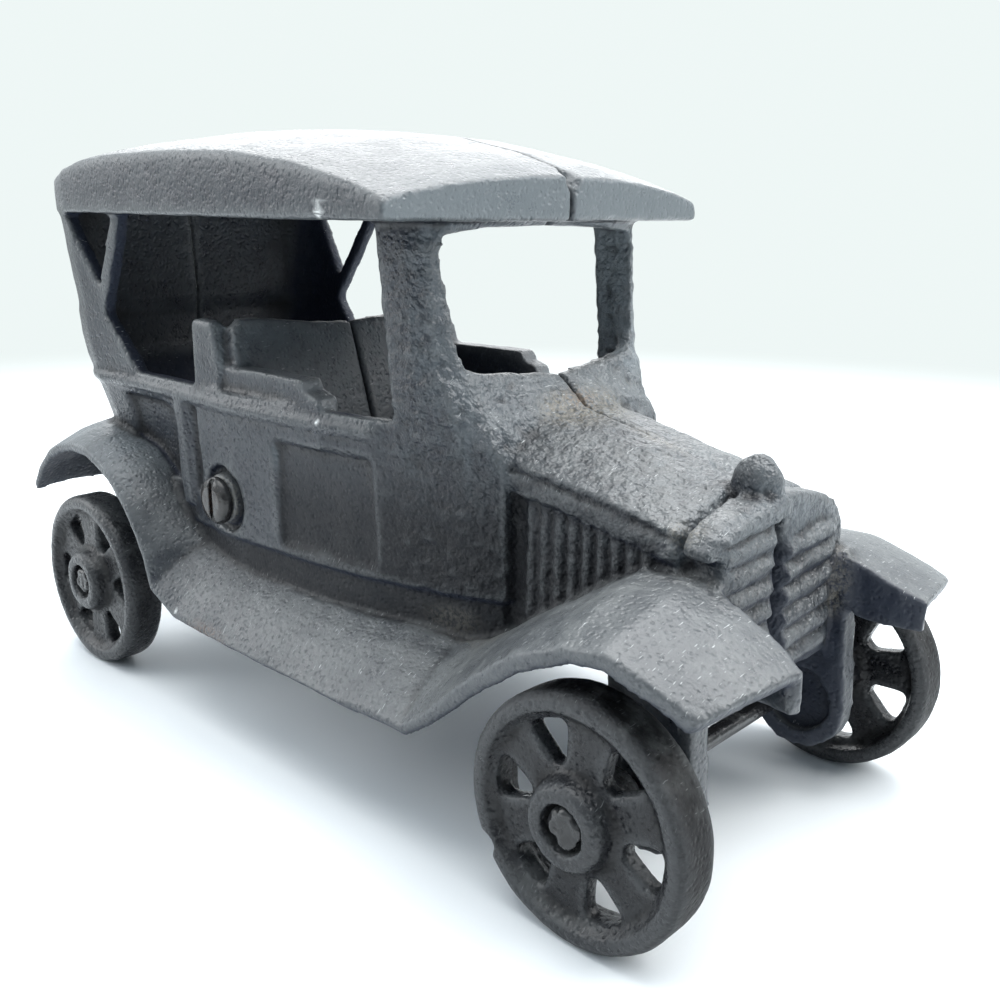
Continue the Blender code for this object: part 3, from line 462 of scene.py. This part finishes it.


# %% [markdown]
# The paint takes three tones of black, from the deepest to the most worn, the last also serving as painted
# light on tops, and a few plain numbers: shine is its least roughness, the next says how much of the worn
# tone, partly wear and partly painted light, lies on tops, mirror is the strength of its reflections, nicks
# that of its scratches, and rugged the height of its fine bumps.


# %% The paint
def old_paint(name, deep, middle, worn_and_lit_grey, shine, top_wear_and_light, seed, mirror=0.5, nicks=0.75, rugged=2.4):
    made, nodes, shader = new_material(name)
    mix, times, plus, greater, span = nodes.mix_colours, nodes.times, nodes.plus, nodes.greater, nodes.span
    source = nodes.add("ShaderNodeTexCoord")
    shift = (0.013 * seed, 0.021 * seed, -0.017 * seed)
    place = nodes.add("ShaderNodeMapping", {"Vector": source["Object"], "Location": shift})["Vector"]
    cloud = grain(nodes, place, 16.0)
    mottle = grain(nodes, place, 3.0, 4.0)
    speck = grain(nodes, place, 0.6, 3.0, 0.7)
    facing = nodes.add("ShaderNodeSeparateXYZ", {"Vector": source["Normal"]})
    up = span(facing["Z"], -0.05, 0.92)
    loose = kept(nodes, "loose")
    black = kept(nodes, "black")
    painted_shade_inside = kept(nodes, "painted_shade_inside")
    painted_shade_corner = kept(nodes, "painted_shade_corner")

    # The darker tone is random dark ripple, and painted shade in hollows, corners and low on the sides.
    dark_ripple_and_shade = tuple(0.3 * part for part in deep[:3]) + (1.0,)
    # Tops are lighter: partly real wear and dust, partly painted light.
    worn_and_lit_tops = times(up, span(cloud, 0.25, 0.7, 0.75, 1.0))
    rippled = span(grain(nodes, place, 1.3, 2.0), 0.40, 0.56, 0.4, 0.0)
    rubbed = times(kept(nodes, "ridge"), span(speck, 0.32, 0.6))
    patchy = span(plus(mottle, cloud), 0.85, 1.25)
    marks = all_scratches(nodes, place)
    layers = (
        # Worn grey on tops, partly wear and partly painted light.
        (times(worn_and_lit_tops, top_wear_and_light), worn_and_lit_grey),
        (times(loose, rippled), dark_ripple_and_shade),
        # Painted light: faces that look lit are made paler.
        (times(kept(nodes, "painted_light"), span(mottle, 0.2, 0.6, 0.6, 1.0)), painted_light_grey),
        # Painted shade: low sides and front treads are made black.
        (times(black, span(mottle, 0.3, 0.75, 1.0, 0.85)), dark_ripple_and_shade),
        # Painted shade in small hollows and wide corners.
        (times(kept(nodes, "painted_shade_hollow"), 0.8), dark_ripple_and_shade),
        (times(painted_shade_corner, 0.9), dark_ripple_and_shade),
        (times(kept(nodes, "edge"), 0.3), worn_and_lit_grey),
        (times(rubbed, 0.5), worn_and_lit_grey),
        # Pale patches on tops, partly bloom and partly painted light.
        (times(patchy, times(up, 0.2)), bloom_and_painted_sheen),
        # Painted shade in the cabin, under things and in the hood's hollow.
        (times(painted_shade_inside, 0.95), painted_shade_navy),
        (times(kept(nodes, "filed"), 0.8), filed_grey),
        (times(kept(nodes, "dust"), span(speck, 0.38, 0.6)), brown_dust),
        (times(kept(nodes, "rust"), span(speck, 0.42, 0.6)), rust_brown),
        (times(marks, times(up, nicks)), bright_scratch),
        (kept(nodes, "chip"), bare_chip),
    )
    base = mix(span(mottle, 0.3, 0.7), deep, middle)
    for share, colour in layers:
        base = mix(share, base, colour)
    nodes.put(base, shader.inputs["Base Color"])

    dull = greater(painted_shade_inside, greater(black, painted_shade_corner))
    rough = plus(span(plus(mottle, speck), 0.7, 1.3, shine, shine + 0.18), times(dull, 0.35))
    nodes.put(rough, shader.inputs["Roughness"])
    shader.inputs["Specular IOR Level"].default_value = mirror

    cells = {"Vector": place, "Scale": 1.0 / (0.85 * mm)}
    pits = span(nodes.add("ShaderNodeTexVoronoi", cells, feature="SMOOTH_F1")["Distance"], 0.05, 0.45)
    ripples = times(grain(nodes, place, 1.25, 2.5), plus(loose, 0.16))
    heights = plus(times(plus(speck, pits), 0.15 * rugged), times(ripples, rugged))
    relief = {"Height": heights, "Strength": 1.0, "Distance": 0.3 * mm}
    nodes.put(nodes.add("ShaderNodeBump", relief)["Normal"], shader.inputs["Normal"])
    return made


# %% A finished piece takes its paint, and stands for its measured node
def dress(piece, node, body, paint):
    mesh = piece.data
    mesh.materials.clear()
    mesh.materials.append(paint)
    mesh.polygons.foreach_set("use_smooth", [True] * len(mesh.polygons))
    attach(piece, body)
    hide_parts(node)
    print(node, "has", len(mesh.polygons), "faces")


# %% [markdown]
# The two halves are the heart of the car. Their skin is uneven in several ways. Wide soft swells run over
# everything. Ripples, lying mostly level, cover the front posts, the cowl and the sides of the hood, where
# the mould sand was loose. The top of the hood and the radiator are rough and lumpy. Thin edges of the
# fenders and of the roof came out of the mould ragged. The blunt front edge of the roof alone was filed
# flat afterwards, and where the halves meet there, a small notch was left.

# %% The skin of a body half
half_grid = 0.5
level_ripples = (0.6, 0.6, 1.5)
notch_place = (30.6, 0.0, 95.6)
notch_reach = (3.4, 2.2, 3.6)
notch_depth = (-1.5, 0.0, -0.5)


def filed_front(x, z, facing):
    return step(x, 26.0, 28.5) * step(z, 87.0, 88.5) * step(facing[:, 0], 0.75, 0.9)


def half_skin(mesh, seed):
    around = Neighbours(mesh)
    places = around.relaxed(points_of(mesh), 3)
    put_points(mesh, places)
    facing = normals_of(mesh)
    x, y, z = car_places(places)
    out = np.abs(y)
    cowl = window(x, 10.0, 20.0, 32.0, 40.0) * window(z, 28.0, 36.0, 84.0, 88.0)
    louvres = window(x, 33.0, 38.0, 60.0, 64.0) * window(z, 26.0, 30.0, 50.0, 54.0)
    hood = step(x, 26.0, 36.0) * window(z, 50.0, 55.0, 62.0, 66.0)
    radiator = step(x, 61.0, 64.0) * fall(out, 17.0, 19.0) * fall(z, 59.0, 61.0)
    filed = filed_front(x, z, facing)
    thin = np.linalg.norm(around.relaxed(places, 6) - places, axis=1) / mm
    edge = step(around.mean(thin), 0.05, 0.22) * (1.0 - filed)

    push = 0.12 * waves(places, 9.0, seed)
    push += 0.06 * waves(places, 3.2, seed + 1)
    push += (0.03 + 0.22 * cowl + 0.16 * louvres) * waves(places, 2.0, seed + 2, level_ripples)
    push += (0.22 * hood + 0.20 * radiator) * waves(places, 3.4, seed + 3)
    push += (0.14 * np.maximum(hood, radiator) + 0.10 * cowl) * waves(places, 1.5, seed + 4)
    push += 0.2 * edge * waves(places, 2.6, seed + 5)
    push *= (0.15 + 0.85 * step(out, 0.25, 1.2)) * (1.0 - 0.8 * filed)
    places = pushed(places, facing, push)
    notch = near(places, notch_place, notch_reach)
    put_points(mesh, places + np.array(notch_depth) * mm * notch[:, None])


# %% [markdown]
# Shade is painted dark inside the cabin, which is found from the direction of the surface: inside, a
# surface faces the cabin's middle. The same idea finds the undersides and the hollow of the hood, which
# face down or inwards, and shade is painted dark on them too. Light is painted paler on the front of the
# seat, on the left front post, on the rear fenders and on what faces forward, and shade is painted black
# low on the sides.

# %% Where a half was filed, where its skin is loose, and where light and shade are painted on it
cabin_middle = np.array((-25.0, 0.0, 70.0))
cabin_reach = np.array((50.0, 27.0, 28.0))


def mark_half(mesh):
    places = points_of(mesh)
    facing = normals_of(mesh)
    x, y, z = car_places(places)
    forward, left, up = facing.T
    out = np.abs(y)
    keep(mesh, "filed", filed_front(x, z, facing))

    loose = window(x, 10.0, 22.0, 70.0, 74.0) * window(z, 28.0, 36.0, 84.0, 88.0)
    keep(mesh, "loose", loose * step(20.0 + 20.0 * fall(x, 30.0, 34.0) - out, 0.0, 2.0))

    # Painted shade: faces inside the cabin, undersides and the hood's hollow go dark.
    to_middle = (cabin_middle - car_places(places).T) / cabin_reach
    to_middle /= np.linalg.norm(to_middle, axis=1)[:, None]
    cabin_shade = step(np.einsum("ij,ij->i", to_middle, facing), -0.1, 0.3)
    cabin_shade *= window(x, -75.0, -73.0, 8.0, 14.0) * window(z, 34.0, 38.0, 98.0, 99.5)
    cabin_shade *= step(26.0 + 5.0 * step(z, 56.0, 58.0) - out, 0.0, 1.0)
    seat = window(x, -34.0, -32.0, 3.0, 6.0) * window(z, 44.0, 50.0, 71.0, 73.0)
    cabin_shade *= 1.0 - 0.75 * seat
    below = step(-up, 0.1, 0.7) * fall(z, 44.0, 50.0)
    painted_shade_hollow = step(-np.sign(y) * left, 0.1, 0.5) * fall(z, 44.0, 50.0) * fall(out, 25.0, 26.0)
    keep(mesh, "painted_shade_inside", np.maximum(cabin_shade, 0.8 * np.maximum(below, painted_shade_hollow)))

    # Painted shade: low on the sides the paint is made black.
    low = window(z, 22.0, 27.0, 40.0, 60.0) * fall(np.abs(up), 0.45, 0.75)
    low *= window(x, -48.0, -36.0, 59.0, 62.0) * fall(out, 26.9, 27.5)
    keep(mesh, "black", low)

    # Painted light: these faces are made paler, as if lit.
    bench = seat * fall(out, 30.0, 31.0) * step(forward, 0.3, 0.8)
    left_post = step(x, 12.0, 16.0) * step(y, 15.0, 17.0) * window(z, 58.0, 66.0, 86.0, 88.0)
    left_post *= fall(left, 0.4, 0.8)
    rear_fender = fall(x, -52.0, -42.0) * fall(z, 46.0, 50.0) * step(up, 0.0, 0.5)
    front = step(forward, 0.15, 0.6) * step(x, 14.0, 18.0) * step(z, 40.0, 52.0)
    painted_light = (0.55 * bench, 0.9 * left_post, 0.7 * rear_fender, 0.4 * front)
    keep(mesh, "painted_light", np.maximum.reduce(painted_light))


# %% Places where dust and rust have gathered on the body, and where its paint is chipped
dust_spots = (
    ((33.0, -3.0, 60.5), (10.0, 9.0, 4.0), 1.0),
    ((33.0, 3.0, 60.5), (10.0, 9.0, 4.0), 0.8),
    ((50.0, 0.0, 58.0), (14.0, 3.0, 3.0), 0.5),
    ((67.0, -17.0, 36.0), (6.0, 4.0, 8.0), 0.9),
    ((67.0, 17.0, 37.0), (6.0, 4.0, 8.0), 0.9),
    ((-14.0, -25.5, 58.8), (24.0, 1.6, 1.8), 0.7),
    ((-14.0, 25.5, 58.8), (24.0, 1.6, 1.8), 0.7),
    ((31.0, -21.0, 29.0), (14.0, 3.0, 4.0), 0.35),
    ((-24.0, -29.0, 40.0), (8.0, 3.0, 8.0), 0.5),
    ((64.0, -17.0, 51.0), (4.0, 4.0, 4.0), 0.6),
)
rust_spots = (
    ((80.0, -34.0, 27.0), (6.0, 4.0, 4.0), 0.9),
    ((-20.0, -35.0, 18.0), (10.0, 3.0, 2.0), 0.4),
    ((31.0, 0.0, 61.0), (5.0, 5.0, 3.0), 0.4),
)
chip_spots = (
    ((15.0, -35.5, 89.6), (0.7, 1.5, 1.7), 1.0),
    ((3.0, -27.6, 57.5), (0.5, 1.0, 0.5), 1.0),
    ((-30.0, -35.6, 19.0), (0.5, 1.0, 0.4), 1.0),
)

# %% [markdown]
# A half comes out of the rebuilding with more triangles than one piece may have in an export, so it is
# thinned out to a fixed number of them. The places are marked after that, on the points that stay.

# %% Make both halves
most_triangles = 190000


def thin_out(piece):
    count = sum(len(face.vertices) - 2 for face in piece.data.polygons)
    print(piece.name, "comes out with", count, "triangles")
    if count > most_triangles:
        piece.modifiers.new("thin", "DECIMATE").ratio = most_triangles / count
        with_modifiers(piece)


def body_paint(name, seed):
    return old_paint(name, (0.006, 0.009, 0.018, 1.0), (0.020, 0.026, 0.034, 1.0),
                     (0.11, 0.117, 0.12, 1.0), shine=0.26, top_wear_and_light=0.9, seed=seed)


def make_half(node, paint, seed):
    piece = cast_copy(node + "_casting", node, half_grid)
    half_skin(piece.data, seed)
    thin_out(piece)
    mark_half(piece.data)
    mark_relief(piece.data, 10, 0.12, 60, 0.9)
    mark_spots(piece.data, dust=dust_spots, rust=rust_spots, chip=chip_spots)
    dress(piece, node, "body", paint)


make_half("body_half_right", body_paint("old_black_paint_right", 1), 3)
make_half("body_half_left", body_paint("old_black_paint_left", 2), 8)


# %% [markdown]
# The measured wheels and rods are turned shapes with flat facets. A facet of an N sided turned shape lies
# closer to the axis at its middle than at its corners, by a known amount, so every point can be moved out
# to the true circle by a factor that depends only on its angle.


# %% Rounding a many sided turned shape
def rounded(places, centre, sides, start):
    away = places - centre
    angle = np.arctan2(away[:, 2], away[:, 0])
    facet = 2.0 * np.pi / sides
    from_middle = np.mod(angle - start, facet) - facet / 2.0
    factor = np.cos(from_middle) / np.cos(facet / 2.0) * (0.5 + 0.5 * np.cos(facet / 2.0))
    return centre + away * np.stack((factor, np.ones_like(factor), factor), 1)


def middle_of(node):
    low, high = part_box(node)
    return np.array((low + high) / 2.0)


# %% Wheels, the front ones with painted shade that makes their tread black, and the near one with a nick in its edge
wheel_sides = 32
wheel_grid = 0.42
tread_radii = (15.9, 16.5)
nick_place = (48.0, -36.8, 8.0)
nick_reach = (2.6, 4.0, 2.2)
nick_depth = 1.3
wheel_paint = old_paint("black_wheel_paint", (0.004, 0.004, 0.006, 1.0), (0.016, 0.017, 0.019, 1.0),
                        (0.06, 0.063, 0.066, 1.0), shine=0.2, top_wear_and_light=0.45, seed=3, mirror=0.3, nicks=0.25)


def make_wheel(node, body, seed, nicked=False):
    piece = cast_copy(node + "_casting", node, wheel_grid)
    mesh = piece.data
    centre = middle_of(node)
    places = Neighbours(mesh).relaxed(points_of(mesh), 2)
    places = rounded(places, centre, wheel_sides, np.pi / wheel_sides)
    put_points(mesh, places)
    push = 0.07 * waves(places, 5.0, seed) + 0.045 * waves(places, 1.8, seed + 1)
    places = pushed(places, normals_of(mesh), push)
    # Painted shade: the front treads are made black.
    if body.startswith("front"):
        from_axis = np.linalg.norm((places - centre)[:, (0, 2)], axis=1) / mm
        keep(mesh, "black", step(from_axis, *tread_radii))
    if nicked:
        to_centre = centre - places
        to_centre /= np.linalg.norm(to_centre, axis=1)[:, None]
        places = pushed(places, to_centre, nick_depth * near(places, nick_place, nick_reach))
    put_points(mesh, places)
    mark_relief(mesh, 8, 0.10, 40, 0.35)
    dress(piece, node, body, wheel_paint)


make_wheel("wheel_front_right", "front_right", 21, nicked=True)
make_wheel("wheel_front_left", "front_left", 24)
make_wheel("wheel_rear_right", "rear_right", 27)
make_wheel("wheel_rear_left", "rear_left", 30)

# %% [markdown]
# The rods are plain black steel wire. After a wheel was put on, the end of the rod was struck with a
# hammer, which spread it into a lumpy shiny head inside the hub's cup. The clamp screw is the same steel.

# %% Rods with hammered heads
rod_sides = 16
rod_grid = 0.22
head_starts = 33.5
steel_relief = (8, 0.08, 30, 0.3)
rod_steel = old_paint("black_rod_steel", (0.003, 0.003, 0.004, 1.0), (0.008, 0.008, 0.009, 1.0),
                      (0.04, 0.04, 0.042, 1.0), shine=0.1, top_wear_and_light=0.4, seed=4, nicks=0.1, rugged=0.5)


def make_rod(node, body, seed):
    piece = cast_copy(node + "_steel", node, rod_grid)
    mesh = piece.data
    places = Neighbours(mesh).relaxed(points_of(mesh), 2)
    places = rounded(places, middle_of(node), rod_sides, 0.0)
    put_points(mesh, places)
    head = step(np.abs(places[:, 1]) / mm, head_starts, head_starts + 1.0)
    push = 0.42 * head * waves(places, 1.7, seed) + 0.2 * head * waves(places, 0.9, seed + 1)
    put_points(mesh, pushed(places, normals_of(mesh), push))
    mark_relief(mesh, *steel_relief)
    dress(piece, node, body, rod_steel)


make_rod("front_axle", "front_rod", 41)
make_rod("rear_axle", "rear_rod", 44)

# %% The clamp screw, with a little rust on its head
screw_grid = 0.2
screw_rust = (((-24.5, -30.0, 39.8), (5.0, 3.0, 5.0), 0.1),)


def make_screw(node, seed):
    piece = cast_copy(node + "_steel", node, screw_grid)
    mesh = piece.data
    places = Neighbours(mesh).relaxed(points_of(mesh), 2)
    put_points(mesh, places)
    put_points(mesh, pushed(places, normals_of(mesh), 0.06 * waves(places, 1.6, seed)))
    mark_relief(mesh, *steel_relief)
    mark_spots(mesh, rust=screw_rust)
    dress(piece, node, "body", rod_steel)


make_screw("body_screw", 51)
